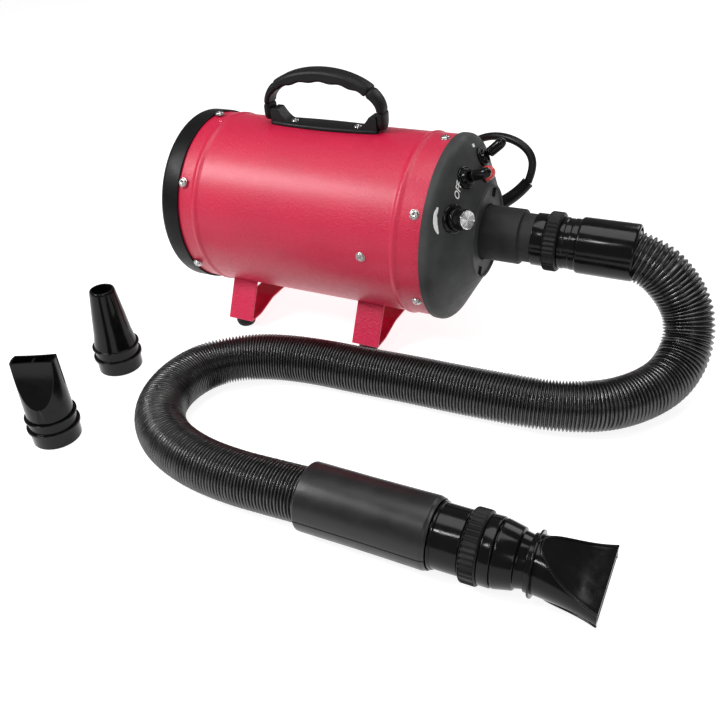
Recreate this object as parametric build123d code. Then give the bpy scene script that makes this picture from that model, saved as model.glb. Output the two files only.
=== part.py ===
"""Pet dryer: a drum-shaped blower on four strap legs, with its hose, hand wand and nozzles.

The blower's axis is level and air leaves it along +X. Each piece is built in the machine's own
millimetres, on the floor and centred under the drum, and save() moves it to the row's origin.
"""
from build123d import *
import math
import os

os.makedirs("parts", exist_ok=True)

# ---- driving dimensions, in millimetres ----
ROW_SHIFT = (-92.5, 125.0, 0.0)     # machine centre to the middle of everything but the cords
AXIS_Z = 116.5                      # height of the drum's axis

DRUM_R = 86.0
DRUM_WALL = 1.2
DRUM_REAR, DRUM_FRONT = -134.0, 146.0
BEADS_X = (-99.0, 114.6)
BAND_ANGLES = (30, 90, 150, 210, 270, 330)
REAR_SCREWS_X, FRONT_SCREWS_X = -112.5, 131.7
BRACKET_SCREW_X = 82.4
GAP = 0.1                           # between pieces that are assembled, not fused

RING_REAR, RING_FRONT, CAP_R = -139.6, -117.8, 88.0
INTAKE_R = 62.0

CAP_REAR, CAP_SHOULDER = 139.6, 147.0
CONE_X0, CONE_R0 = 150.0, 85.0      # where the front cap's cone starts
CONE_X1, CONE_R1 = 172.9, 44.1      # where it meets the rim round the outlet
CAP_BACK = -4.4                     # depth under the cone's face where its wall has ended
FACE_X, RIM_FRONT, RIM_R = 173.0, 175.2, 43.6
NOTCH_ANGLES, NOTCH_AT = (61, 240), 37.0
OUTLET_R, OUTLET_STEP_X = 25.4, 208.5
SPIGOT_R, SPIGOT_END = 22.4, 234.0
DUCT_R = 19.5

CONNECTOR_REAR, CONNECTOR_FRONT = 220.0, 262.0
CONNECTOR_R, LOCK_R = 24.0, 27.0
LOCK_REAR, LOCK_FRONT = 231.0, 244.0
CUFF_REAR, CUFF_FRONT, CUFF_R = 260.0, 311.0, 25.5

HANDLE_X, HANDLE_HALF = 10.0, 57.0
PLATE_T, HANDLE_W = 3.4, 18.0
HANDLE_SCREWS = 34.0                    # each side of the plate's middle
PIVOT_Z = 213.0
GRIP_HALF, GRIP_RISE, GRIP_SPRING_Z = 63.7, 35.0, 222.0
GRIP_T, GRIP_LEG_T = 11.5, 6.4
GRIP_SLEEVE = (-37.0, 55.0)         # the over-moulded stretch, along X

LEG_W, LEG_T = 28.6, 2.0
LEG_X = (-73.5, 72.7)
FOOT_Y, FOOT_R, FOOT_H = 61.0, 10.2, 9.0

KNOB_ANGLE, KNOB_AT = 148.0, 66.0   # clock angle from +Y towards +Z, and radius on the cone
FAN_SWITCH_ANGLE, HEAT_SWITCH_ANGLE, SWITCH_AT = 112.8, 74.0, 66.5
FAN_TILT, HEAT_TILT, LEVER_LONG = 5.0, 15.0, 19.0
LAMP_ANGLE, LAMP_AT = 86.0, 54.0
RELIEF_ANGLE, RELIEF_AT = 5.0, 54.0

HOSE_R, HOSE_WALL = 22.0, 2.0
HOSE_ROUTE = [
    (300, 0, 116), (324, -1, 111), (345, -1, 93), (361, -4, 70), (366, -18, 43), (359, -43, 25),
    (342, -75, 22.2), (314, -104, 22.2), (272, -119, 22.2), (228, -122, 22.2), (184, -124, 22.2),
    (140, -125, 22.2), (96, -128, 22.2), (54, -129, 22.2), (13, -135, 22.2), (-19, -148, 22.2),
    (-46, -173, 22.2), (-54, -212, 22.2), (-44, -249, 22.2), (-16, -278, 22.2), (24, -294, 22.6),
    (67, -300, 24), (110, -301, 26.8), (146, -300, 27.6)]

CORD_R = 3.9
RELIEF_ROUTE = [(167.0, 53.6, 121.2), (181.5, 60, 128.5), (191.5, 65.5, 142.5)]
CORD_ROUTE = [
    (191.5, 65.5, 142.5), (194.5, 70.5, 153.5), (191.5, 75, 166), (180.5, 79, 174.5),
    (165, 84, 178), (148.5, 89, 177), (132.5, 94, 171), (116.5, 99, 158.5), (103, 103, 141), (93, 106, 117),
    (83, 109, 86), (72, 112, 55), (54, 115, 27), (27, 120, 9), (-6, 126, 4.6), (-40, 131, 4.6)]
COIL_CENTRE, COIL_R = (-40.0, 180.0), 41.0
COIL_STRANDS_WIDE, COIL_STRANDS_HIGH = 3, 2
TAIL_ROUTE = [(-40, 229, 12.4), (-14, 229, 10), (12, 226, 8), (34, 222, 9), (52, 221, 11)]

WAND_Y, WAND_Z, WAND_R = -300.0, 27.7, 27.2
WAND_REAR, WAND_FRONT = 136.5, 241.0
ADAPTER_FRONT = 310.5
FAN_REAR, FAN_FRONT = 308.0, 359.5
FAN_MOUTH_W, FAN_MOUTH_H = 66.0, 10.0

SPARE_ROUND = (-151.2, -176.7, 87.1)    # x, y, height
SPARE_FLAT = (-130.7, -290.5, 82.2)
SPARE_BASE_R, SOCKET_R, SOCKET_DEEP = 21.4, 19.6, 26.0

MOTOR_REAR = -92.0                      # where the fan drum starts
SHAFT_R = 4.0


def save(node, shape):
    """Write one piece, moved from the machine's centre to the row's origin."""
    export_step(Pos(*ROW_SHIFT) * shape, f"parts/{node}.step")


def turned(points, y=0.0, z=AXIS_Z):
    """Solid of revolution about a line along X, from (x, radius) points."""
    return Pos(0, y, z) * revolve(make_face(Polyline(*points, close=True)), Axis.X)


def ring_x(x0, x1, outer, inner=0.0, y=0.0, z=AXIS_Z):
    """Plain ring or disc about a line along X."""
    return turned([(x0, inner), (x1, inner), (x1, outer), (x0, outer)], y, z)


def turned_up(points, x, y):
    """Solid of revolution about a vertical line, from (radius, height) points."""
    face = Plane.XZ * make_face(Polyline(*points, close=True))
    return Pos(x, y, 0) * revolve(face, Axis.Z)


def rod(radius, low, high):
    """Round rod along local Z, from low to high."""
    return Pos(0, 0, (low + high) / 2) * Cylinder(radius, high - low)


def around(angle, x, radius):
    """Plane on the drum at a clock angle, its Z pointing out of the drum."""
    a = math.radians(angle)
    out = Vector(0, math.cos(a), math.sin(a))
    return Plane(Vector(x, 0, AXIS_Z) + out * radius, x_dir=(1, 0, 0), z_dir=out)


def on_cone(angle, radius):
    """Plane on the front cap's cone; X runs up the slope to the rim and Z points outwards."""
    a = math.radians(angle)
    run, rise = CONE_X1 - CONE_X0, CONE_R0 - CONE_R1
    x = CONE_X0 + (CONE_R0 - radius) * run / rise
    c, s = math.cos(a), math.sin(a)
    origin = Vector(x, radius * c, AXIS_Z + radius * s)
    return Plane(origin, x_dir=(-run, rise * c, rise * s), z_dir=(rise, run * c, run * s))


def at(plane, shape):
    """Put a shape drawn about the origin on a plane."""
    return plane.location * shape


def union(shapes):
    """Fuse a list of shapes into one."""
    first, *rest = shapes
    for shape in rest:
        first = first + shape
    return first


def corner_radii(route):
    """The largest tangent arc that each corner's two straight runs allow."""
    radii = []
    for before, here, after in zip(route, route[1:], route[2:]):
        a, b = Vector(here) - Vector(before), Vector(after) - Vector(here)
        half_turn = math.radians(a.get_angle(b)) / 2
        radii.append(0.45 * min(a.length, b.length) / math.tan(half_turn))
    return radii


def swept(route, radius, name, bore=0.0):
    """Round tube along straight runs joined by tangent arcs; checks its own volume."""
    radii = corner_radii(route)
    path = FilletPolyline(*route, radius=radii)
    start = Plane(route[0], z_dir=Vector(route[1]) - Vector(route[0]))
    section = Circle(radius) if not bore else Circle(radius) - Circle(bore)
    tube = sweep(start * section, path=path)
    area = math.pi * (radius ** 2 - bore ** 2)
    print(f"{name}: length {path.length:.0f}, tightest arc {min(radii):.0f},",
          f"volume / (section x length) {tube.volume / (area * path.length):.4f}")
    return tube


# ---- drum and its ends ----
def drum():
    shell = ring_x(DRUM_REAR, DRUM_FRONT, DRUM_R, DRUM_R - DRUM_WALL)
    for x in BEADS_X:
        bead = [(x - 3.4, DRUM_R - 0.4), (x + 3.4, DRUM_R - 0.4), (x + 1.4, DRUM_R + 1.6),
                (x - 1.4, DRUM_R + 1.6)]
        shell += turned(bead)
    for x in (REAR_SCREWS_X, FRONT_SCREWS_X):
        for angle in BAND_ANGLES:
            shell -= at(around(angle, x, DRUM_R), rod(2.2, -4, 4))
    for angle in (0, 180):
        shell -= at(around(angle, BRACKET_SCREW_X, DRUM_R), rod(2.2, -4, 4))
    for x in (HANDLE_X - HANDLE_SCREWS, HANDLE_X + HANDLE_SCREWS):
        shell -= at(around(90, x, DRUM_R), rod(2.2, -4, 4))
    return shell


def rear_cap():
    """Ring over the drum's rear end, with a lip inside for the screws and a rear wall."""
    cap = turned([
        (RING_REAR, INTAKE_R), (RING_REAR + 4, INTAKE_R), (RING_REAR + 4, 81.0),
        (-108.0, 81.0), (-108.0, DRUM_R - DRUM_WALL - GAP), (-134.2, DRUM_R - DRUM_WALL - GAP),
        (-134.2, DRUM_R + GAP), (RING_FRONT, DRUM_R + GAP), (RING_FRONT, CAP_R),
        (RING_REAR + 2.5, CAP_R), (RING_REAR, CAP_R - 2.5)])
    for angle in BAND_ANGLES:
        cap -= at(around(angle, REAR_SCREWS_X, DRUM_R), rod(2.05, -8, 0.5))
    return cap


def intake_grille():
    """Slotted disc in the rear wall."""
    grille = ring_x(RING_REAR + 0.6, RING_REAR + 3.6, INTAKE_R - GAP, INTAKE_R - 5)
    for radius in (12, 24, 36, 48):
        grille += ring_x(RING_REAR + 0.6, RING_REAR + 3.6, radius, radius - 4)
    for angle in range(0, 180, 30):
        bar = Pos(RING_REAR + 2.1, 0, AXIS_Z) * Box(3, 2 * INTAKE_R - 4, 4)
        grille += bar.rotate(Axis((0, 0, AXIS_Z), (1, 0, 0)), angle)
    return grille


def screws(planes, head_r=4.4, head_h=2.2, shank=5.2):
    """Set of pan-head screws, heads resting on their planes."""
    one = rod(head_r, 0.05, head_h) - rod(0.9, head_h - 1.2, head_h + 1)
    one = one + rod(2.0, -shank, 0.05)
    return Compound(children=[at(plane, one) for plane in planes])


def cap_profile():
    return [
        (CAP_REAR, DRUM_R + GAP), (CAP_REAR, CAP_R), (CAP_SHOULDER - 0.5, CAP_R),
        (CAP_SHOULDER + 1.7, CAP_R - 1.0), (CONE_X0, CONE_R0), (CONE_X1, CONE_R1),
        (RIM_FRONT, RIM_R), (RIM_FRONT, RIM_R - 2.4), (FACE_X, RIM_R - 2.9), (FACE_X, OUTLET_R + GAP),
        (FACE_X - 3.4, OUTLET_R + GAP), (FACE_X - 3.4, CONE_R1 - 2.0), (CONE_X0 - 3.4, CONE_R0 - 2.0),
        (CONE_X0 - 3.4, 81.0), (122.0, 81.0), (122.0, DRUM_R - DRUM_WALL - GAP),
        (DRUM_FRONT + 0.2, DRUM_R - DRUM_WALL - GAP), (DRUM_FRONT + 0.2, DRUM_R + GAP)]


def front_cap():
    """Moulded cap: skirt over the drum, cone for the controls, rimmed flat face round the outlet."""
    cap = turned(cap_profile())
    for angle in BAND_ANGLES:
        cap -= at(around(angle, FRONT_SCREWS_X, DRUM_R), rod(2.05, -8, 0.5))
    cap -= at(KNOB, rod(4.6, -8, 4))
    for plane in (FAN_SWITCH, HEAT_SWITCH):
        cap -= at(plane, rod(6.1, -8, 4))
    cap -= at(LAMP, rod(5.2, -8, 4))
    cap -= at(RELIEF, rod(6.1, -8, 4))
    for angle in NOTCH_ANGLES:
        notch = Pos(FACE_X, 0, AXIS_Z + NOTCH_AT) * Box(5.2, 10, 7.6)
        cap -= notch.rotate(Axis((0, 0, AXIS_Z), (1, 0, 0)), angle - 90)
    return cap


def outlet():
    return turned([
        (163.0, DUCT_R), (SPIGOT_END, DUCT_R), (SPIGOT_END, SPIGOT_R), (OUTLET_STEP_X, SPIGOT_R),
        (OUTLET_STEP_X, OUTLET_R), (FACE_X - 3.5, OUTLET_R), (FACE_X - 3.5, 31.0),
        (FACE_X - 6.5, 31.0), (FACE_X - 6.5, 24.0), (163.0, 24.0)])


# ---- legs and feet ----
def strap_leg(x):
    """Flat strap bent under the drum: down to one foot, across with a raised middle, up again."""
    half = [(51.2, 46.6), (70.0, 10.2), (52.0, 10.2), (26.0, 16.5)]
    path = FilletPolyline(*half, *[(-y, z) for y, z in reversed(half)], radius=2.5)
    strap = Plane.YZ * extrude(make_face(trace(path, LEG_T).faces()[0].outer_wire()), LEG_W)
    strap = Pos(x - LEG_W / 2, 0, 0) * strap
    for side in (-1, 1):
        strap -= Pos(x, side * FOOT_Y, 10) * Cylinder(2.2, 8)
    return strap - ring_x(x - 30, x + 30, DRUM_R + GAP)


def feet():
    one = rod(FOOT_R, 0, FOOT_H) - rod(4.2, -1, 3.5) - rod(2.2, 3, 12)
    places = [(x, side * FOOT_Y) for x in LEG_X for side in (-1, 1)]
    return Compound(children=[Pos(x, y, 0) * one for x, y in places])


def foot_screws():
    one = rod(3.8, 1.2, 3.4) + rod(2.0, 3.4, 15)
    places = [(x, side * FOOT_Y) for x in LEG_X for side in (-1, 1)]
    return Compound(children=[Pos(x, y, 0) * one for x, y in places])


# ---- handle ----
def handle_plate():
    """Base strip with an upturned horn at each end that carries a grip pin."""
    top = AXIS_Z + DRUM_R + PLATE_T
    bow = [(HANDLE_HALF * t / 4, 7.6 + 4.2 * (1 - (t / 4) ** 2)) for t in range(-4, 5)]
    plan = make_face(Polyline(*bow, *[(x, -y) for x, y in reversed(bow)], close=True))
    plate = Pos(HANDLE_X, 0, top - 8) * extrude(plan, 8)
    for side in (-1, 1):
        foot = HANDLE_X + side * HANDLE_HALF
        horn = make_face(Polyline(
            (foot, top - 1), (foot, PIVOT_Z), (foot - side * 1.5, PIVOT_Z + 4.6),
            (foot - side * 7.5, PIVOT_Z + 4.6), (foot - side * 9.5, PIVOT_Z - 0.5),
            (foot - side * 14, PIVOT_Z - 5.0), (foot - side * 20, top - 1), close=True))
        plate += extrude(Plane.XZ * horn, 7.4, both=True)
    plate -= ring_x(-80, 100, DRUM_R + 0.02)
    for side in (-1, 1):
        bore = Pos(HANDLE_X + side * HANDLE_HALF, 0, PIVOT_Z) * Rot(0, 90, 0)
        plate -= bore * Cylinder(2.05, 40)
        screw_hole = Pos(HANDLE_X + side * HANDLE_SCREWS, 0, top)
        plate -= screw_hole * rod(4.9, -1.6, 4)
        plate -= screw_hole * rod(2.1, -12, 0)
    return plate


def arch(grow, width):
    """Half-ellipse ring on two straight legs, as a solid across Y."""
    def outline(half, rise, drop):
        crown = Pos(HANDLE_X, GRIP_SPRING_Z) * Ellipse(half, rise)
        crown -= Pos(HANDLE_X, GRIP_SPRING_Z - 60) * Rectangle(200, 120)
        legs = Pos(HANDLE_X, GRIP_SPRING_Z - drop / 2) * Rectangle(2 * half, drop)
        return crown + legs
    outer = outline(GRIP_HALF + grow, GRIP_RISE + grow, GRIP_SPRING_Z - PIVOT_Z + 0.01)
    inner = outline(GRIP_HALF - GRIP_LEG_T - grow, GRIP_RISE - GRIP_T - grow, 30)
    return extrude(Plane.XZ * (outer - inner), width / 2, both=True)


def sleeve_zone():
    low, high = GRIP_SLEEVE
    return Pos((low + high) / 2, 0, 240) * Box(high - low, 60, 80)


def grip_frame():
    """Hard arch with rounded eyes that hold the pins, slimmer under the soft sleeve."""
    wide = arch(0, HANDLE_W) - sleeve_zone()
    slim = arch(-2.2, HANDLE_W - 5) & sleeve_zone()
    eyes = []
    for side in (-1, 1):
        x = HANDLE_X + side * (GRIP_HALF - GRIP_LEG_T / 2)
        eyes.append(Pos(x, 0, PIVOT_Z) * Rot(0, 90, 0) * Cylinder(HANDLE_W / 2 - 0.6, GRIP_LEG_T))
    frame = union([wide, slim] + eyes)
    horns = Pos(HANDLE_X, 0, PIVOT_Z) * Box(2 * HANDLE_HALF + 0.6, 40, 24)
    frame -= horns
    return frame - Pos(HANDLE_X, 0, PIVOT_Z) * Rot(0, 90, 0) * Cylinder(2.0, 180)


def grip_sleeve():
    """Soft over-moulding on the top of the arch, with finger waves under it."""
    sleeve = (arch(0, HANDLE_W + 0.6) & sleeve_zone()) - arch(-2.2, HANDLE_W - 5)
    low, high = GRIP_SLEEVE
    return sleeve & (Pos((low + high) / 2, 0, 240) * Box(high - low - 0.4, 60, 80))


def grip_pins():
    pins = []
    for side in (-1, 1):
        x = HANDLE_X + side * (GRIP_HALF - 7.6)
        pins.append(Pos(x, 0, PIVOT_Z) * Rot(0, 90, 0) * Cylinder(2.0, 14.0))
    return Compound(children=pins)


# ---- controls on the cone ----
def potentiometer():
    can = rod(8.5, CAP_BACK - 12, CAP_BACK) + rod(4.5, CAP_BACK, 2.6)
    return can - rod(3.05, -10, 4)


def knob_bezel(cap):
    return at(KNOB, rod(13.0, -0.9, 2.6) - rod(4.7, -2, 4)) - cap


def knob():
    body = rod(9.7, 3.2, 5.0) + rod(9.1, 5.0, 17.4)
    return body - rod(3.0, 0, 13.5)


def switch_body():
    body = Pos(0, 0, CAP_BACK - 9) * Box(20, 13, 18) + rod(6.0, CAP_BACK, 5.5)
    return body - rod(4.7, CAP_BACK - 1, 7)


def switch_boot(plane, cap):
    """Ring nut with a raised boss round the switch's bushing."""
    boot = rod(10.2, -0.8, 2.4) + rod(7.4, 2.4, 5.5)
    return at(plane, boot - rod(6.1, -2, 7)) - cap


def lever(tilt):
    """Toggle lever: pivot pin, stem and the long round-nosed sleeve, leaning up or down the slope."""
    nose = Pos(0, 0, LEVER_LONG) * Sphere(5.0)
    pin = Rot(90, 0, 0) * rod(1.2, -3.6, 3.6)
    stem = rod(1.8, 0, 8) + Sphere(2.6) + pin + rod(5.0, 5.6, LEVER_LONG) + nose
    return Pos(0, 0, 3.0) * Rot(0, tilt, 0) * stem


def lamp_lens():
    return rod(5.0, -4.2, 2.0) + rod(6.8, 2.0, 4.5) + Pos(0, 0, 4.5) * (Sphere(6.8) & rod(8, 0, 8))


# ---- power cord ----
def relief_boot(cap):
    flange = rod(8.5, -0.8, 2.4) + rod(6.0, -7, -0.8)
    boot = swept(RELIEF_ROUTE, 6.3, "strain relief")
    return at(RELIEF, flange) + boot - cap


def coil():
    """Outer shape of the hank: a flat ring, strands side by side and on top of each other."""
    half = COIL_STRANDS_WIDE * CORD_R + 0.4
    top = 2 * COIL_STRANDS_HIGH * CORD_R + 0.6
    low = 0.5
    return turned_up([
        (COIL_R - half, low + 2), (COIL_R - half + 2, low), (COIL_R + half - 2, low),
        (COIL_R + half, low + 2), (COIL_R + half, top - 2), (COIL_R + half - 2, top),
        (COIL_R - half + 2, top), (COIL_R - half, top - 2)], *COIL_CENTRE)


def plug():
    """Moulded plug body, along +X, with its collar towards the cord."""
    x, y, z = TAIL_ROUTE[-1]
    grip = Pos(x + 26, y, z) * Box(26, 19, 19)
    grip = fillet(grip.edges().filter_by(Axis.X), 5)
    neck = turned([(x - 6, 0), (x - 6, 5.2), (x + 13, 8), (x + 13, 0)], y, z)
    flange = turned([(x + 35, 0), (x + 35, 10.5), (x + 39, 10.5), (x + 39, 0)], y, z)
    body = grip + neck + flange
    return body


def plug_pins():
    x, y, z = TAIL_ROUTE[-1]
    pins = [Pos(x + 48.2, y + dy, z) * Box(18, 1.6, 6.4) for dy in (-6.4, 6.4)]
    return Compound(children=pins)


# ---- hose ends and wand ----
def hose_connector(rear, y, z):
    """Stepped tube that pushes over a spigot, with a groove for the lock ring."""
    front = rear + CONNECTOR_FRONT - CONNECTOR_REAR
    groove = rear + LOCK_REAR - CONNECTOR_REAR - 0.3
    return turned([
        (rear, SPIGOT_R + GAP), (rear + 14.4, SPIGOT_R + GAP), (rear + 14.4, DUCT_R),
        (front, DUCT_R), (front, 23.2), (groove + 13.6, 23.2), (groove + 13.6, CONNECTOR_R - 1.3),
        (groove, CONNECTOR_R - 1.3), (groove, CONNECTOR_R), (rear, CONNECTOR_R)], y, z)


def lock_ring(rear, y, z):
    """Knurled ring that turns in the connector's groove."""
    ring = ring_x(rear, rear + 13.0, LOCK_R, CONNECTOR_R - 1.2, y, z)
    for i in range(12):
        groove = Pos(rear + 6.5, y, z + LOCK_R + 0.6) * Box(16, 3.2, 2.4)
        ring -= groove.rotate(Axis((0, y, z), (1, 0, 0)), 30 * i)
    return ring


def machine_cuff():
    return turned([
        (CUFF_REAR, 23.3), (CONNECTOR_FRONT + 0.2, 23.3), (CONNECTOR_FRONT + 0.2, DUCT_R),
        (285.0, DUCT_R), (285.0, HOSE_R + 0.3), (CUFF_FRONT, HOSE_R + 1.4),
        (CUFF_FRONT, CUFF_R), (CUFF_REAR, CUFF_R)])


def wand_sleeve():
    """Foam-covered grip tube that the hose enters from the rear."""
    return turned([
        (WAND_REAR, HOSE_R + 0.4), (160.0, HOSE_R + 0.2), (160.0, DUCT_R), (232.0, DUCT_R),
        (232.0, 25.0), (WAND_FRONT, 25.0), (WAND_FRONT, WAND_R), (WAND_REAR, WAND_R)],
        WAND_Y, WAND_Z)


def wand_tip():
    """Connector out of the grip, with the groove its lock ring turns in and a spigot."""
    return turned([
        (232.3, DUCT_R), (296.0, DUCT_R), (296.0, 22.4), (286.0, 22.4), (286.0, 25.2),
        (277.6, 25.2), (277.6, 22.7), (264.0, 22.7), (264.0, 23.8), (236.0, 23.8), (236.0, 24.9),
        (232.3, 24.9)], WAND_Y, WAND_Z)


def taper_adapter():
    """Two-step reducer between the wand's spigot and the nozzle."""
    return turned([
        (287.0, 22.5), (296.4, 22.5), (296.4, 18.0), (ADAPTER_FRONT, 16.6),
        (ADAPTER_FRONT, 18.2), (301.6, 19.9), (301.6, 21.9), (287.0, 24.6)], WAND_Y, WAND_Z)


def duckbill(base_r, mouth_w, mouth_h, low, high):
    """Loft along local Z from a round base to a flat mouth."""
    base = Plane.XY.offset(low) * Circle(base_r)
    mouth = Plane.XY.offset(high) * SlotOverall(mouth_w, mouth_h)
    return loft([base.face(), mouth.face()])


def fan_nozzle():
    """Fish-tail nozzle on the wand: a collar, a thin flange and the flat mouth."""
    length = FAN_FRONT - FAN_REAR
    outer = duckbill(20.6, FAN_MOUTH_W, FAN_MOUTH_H, 5.0, length)
    inner = duckbill(18.4, FAN_MOUTH_W - 4, FAN_MOUTH_H - 4.6, 4.9, length + 0.01)
    collar = rod(20.6, 0, 5.2) - rod(18.4, -1, 5.3)
    flange = rod(23.6, 3.6, 5.2) - rod(20.0, 3, 6)
    nozzle = (outer - inner) + collar + flange
    way = Plane((FAN_REAR, WAND_Y, WAND_Z), x_dir=(0, 1, 0), z_dir=(1, 0, 0))
    nozzle = way.location * nozzle
    return nozzle - ring_x(FAN_REAR - 3, FAN_REAR + 2.8, 19.1, 0, WAND_Y, WAND_Z)


def nozzle_base(height):
    """Lower part that every spare nozzle shares: socket, two rings."""
    return [(SOCKET_R, 0), (SPARE_BASE_R, 0), (SPARE_BASE_R, 13.5), (23.4, 13.5), (23.4, 16),
            (SPARE_BASE_R - 0.4, 16), (SPARE_BASE_R - 0.4, 24.5), (22.8, 24.5), (22.8, 26.5),
            (20.6, 26.5)]


def round_nozzle():
    x, y, height = SPARE_ROUND
    profile = nozzle_base(height) + [
        (12.2, height - 1.5), (11.4, height), (9.6, height), (18.0, SOCKET_DEEP + 2),
        (SOCKET_R, SOCKET_DEEP)]
    return turned_up(profile, x, y)


def flat_nozzle():
    """Narrow crevice nozzle with flattened cheeks and a web across its mouth."""
    x, y, height = SPARE_FLAT
    base = turned_up(nozzle_base(height) + [(SOCKET_R, 26.5)], 0, 0)
    outer = duckbill(20.6, 39.0, 14.4, 26.4, height)
    inner = duckbill(18.4, 35.4, 10.8, 26.3, height + 0.01)
    web = (Pos(0, 0, (height + 45) / 2) * Box(2.0, 13.0, height - 45)) & outer
    return Pos(x, y, 0) * Rot(0, 0, 26) * (base + (outer - inner) + web)


# ---- air path and motor inside the drum ----
def motor_parts():
    """Blower motor, its mounts, the heater and the foam liner, from rear to front."""
    m = MOTOR_REAR
    inner = DRUM_R - DRUM_WALL - 0.3
    parts = {}
    parts["intake_filter"] = ring_x(-135.2, -127.0, 80.6)
    parts["motor_mounts"] = Compound(children=[
        ring_x(m + 4, m + 14, inner, 71.3), ring_x(24, 34, inner, 47.3)])
    fan_case = turned([
        (m, 20.0), (m + 2, 20.0), (m + 2, 69.0), (m + 42, 69.0), (m + 42, 48.5), (m + 44, 48.5),
        (m + 44, 71.0), (m, 71.0)])
    parts["fan_case"] = fan_case
    parts["motor_frame"] = turned([
        (m + 44.2, 11.2), (m + 50.0, 11.2), (m + 50.0, 44.5), (34.0, 44.5), (34.0, 11.2),
        (40.0, 11.2), (40.0, 47.0), (m + 44.2, 47.0)])
    parts["stator"] = ring_x(-30, 14, 44.3, 27.5)
    parts["field_coils"] = ring_x(-36.5, -30.2, 42.0, 29.0) + ring_x(14.2, 20.5, 42.0, 29.0)
    parts["bearings"] = Compound(children=[
        ring_x(m + 44.3, m + 49.8, 11.0, SHAFT_R + 0.05), ring_x(34.2, 39.8, 11.0, SHAFT_R + 0.05)])
    parts["rotor_shaft"] = ring_x(m + 6, 46, SHAFT_R)
    parts["armature"] = ring_x(-29, 13, 26.6, SHAFT_R + 0.02)
    parts["commutator"] = ring_x(21, 32.5, 13.0, SHAFT_R + 0.02)
    wheels = ring_x(m + 10, m + 12, 60.0, SHAFT_R + 0.02) + ring_x(m + 12, m + 22, 9, SHAFT_R + 0.02)
    for i in range(9):
        vane = Pos(m + 16.9, 0, AXIS_Z + 34.5) * Rot(35, 0, 0) * Box(10, 1.6, 44)
        wheels += vane.rotate(Axis((0, 0, AXIS_Z), (1, 0, 0)), 40 * i)
    parts["impeller"] = wheels
    brush = Pos(26.5, 0, AXIS_Z + 22.5)
    parts["brush_holders"] = Compound(children=[
        (brush * Box(8, 8, 18)).rotate(Axis((0, 0, AXIS_Z), (1, 0, 0)), turn) for turn in (0, 180)])
    screw_hole = at(around(90, HANDLE_X - HANDLE_SCREWS, DRUM_R), rod(3.2, -12, 2))
    parts["foam_liner"] = ring_x(-76, 22, inner, 76.0) - screw_hole
    return parts


def heater_parts():
    """Mica cross with a wound coil, its bracket ring and the thermal cut-out."""
    parts = {}
    boards = union([Pos(104, 0, AXIS_Z) * Box(72, 1.2, 114), Pos(104, 0, AXIS_Z) * Box(72, 114, 1.2)])
    parts["heater_mica"] = boards
    turns = [ring_x(x, x + 2.4, 60.5, 57.2) for x in range(86, 140, 11)]
    parts["heater_coil"] = Compound(children=turns)
    bracket = ring_x(74.5, 90, DRUM_R - DRUM_WALL - 0.2, 78.5)
    for angle in (0, 180):
        bracket -= at(around(angle, BRACKET_SCREW_X, DRUM_R), rod(2.05, -9, 1))
    for angle in (0, 90, 180, 270):
        spoke = Pos(79, 0, AXIS_Z + 68.0) * Box(6, 3, 21.4)
        bracket += spoke.rotate(Axis((0, 0, AXIS_Z), (1, 0, 0)), angle)
    parts["heater_bracket"] = bracket
    parts["thermal_cutout"] = Pos(104, 20, AXIS_Z + 4.7) * Box(16, 14, 8)
    parts["speed_board"] = Pos(55, 0, AXIS_Z - 66) * Box(34, 60, 1.6)
    return parts


KNOB = on_cone(KNOB_ANGLE, KNOB_AT)
FAN_SWITCH = on_cone(FAN_SWITCH_ANGLE, SWITCH_AT)
HEAT_SWITCH = on_cone(HEAT_SWITCH_ANGLE, SWITCH_AT)
LAMP = on_cone(LAMP_ANGLE, LAMP_AT)
RELIEF = on_cone(RELIEF_ANGLE, RELIEF_AT)


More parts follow.
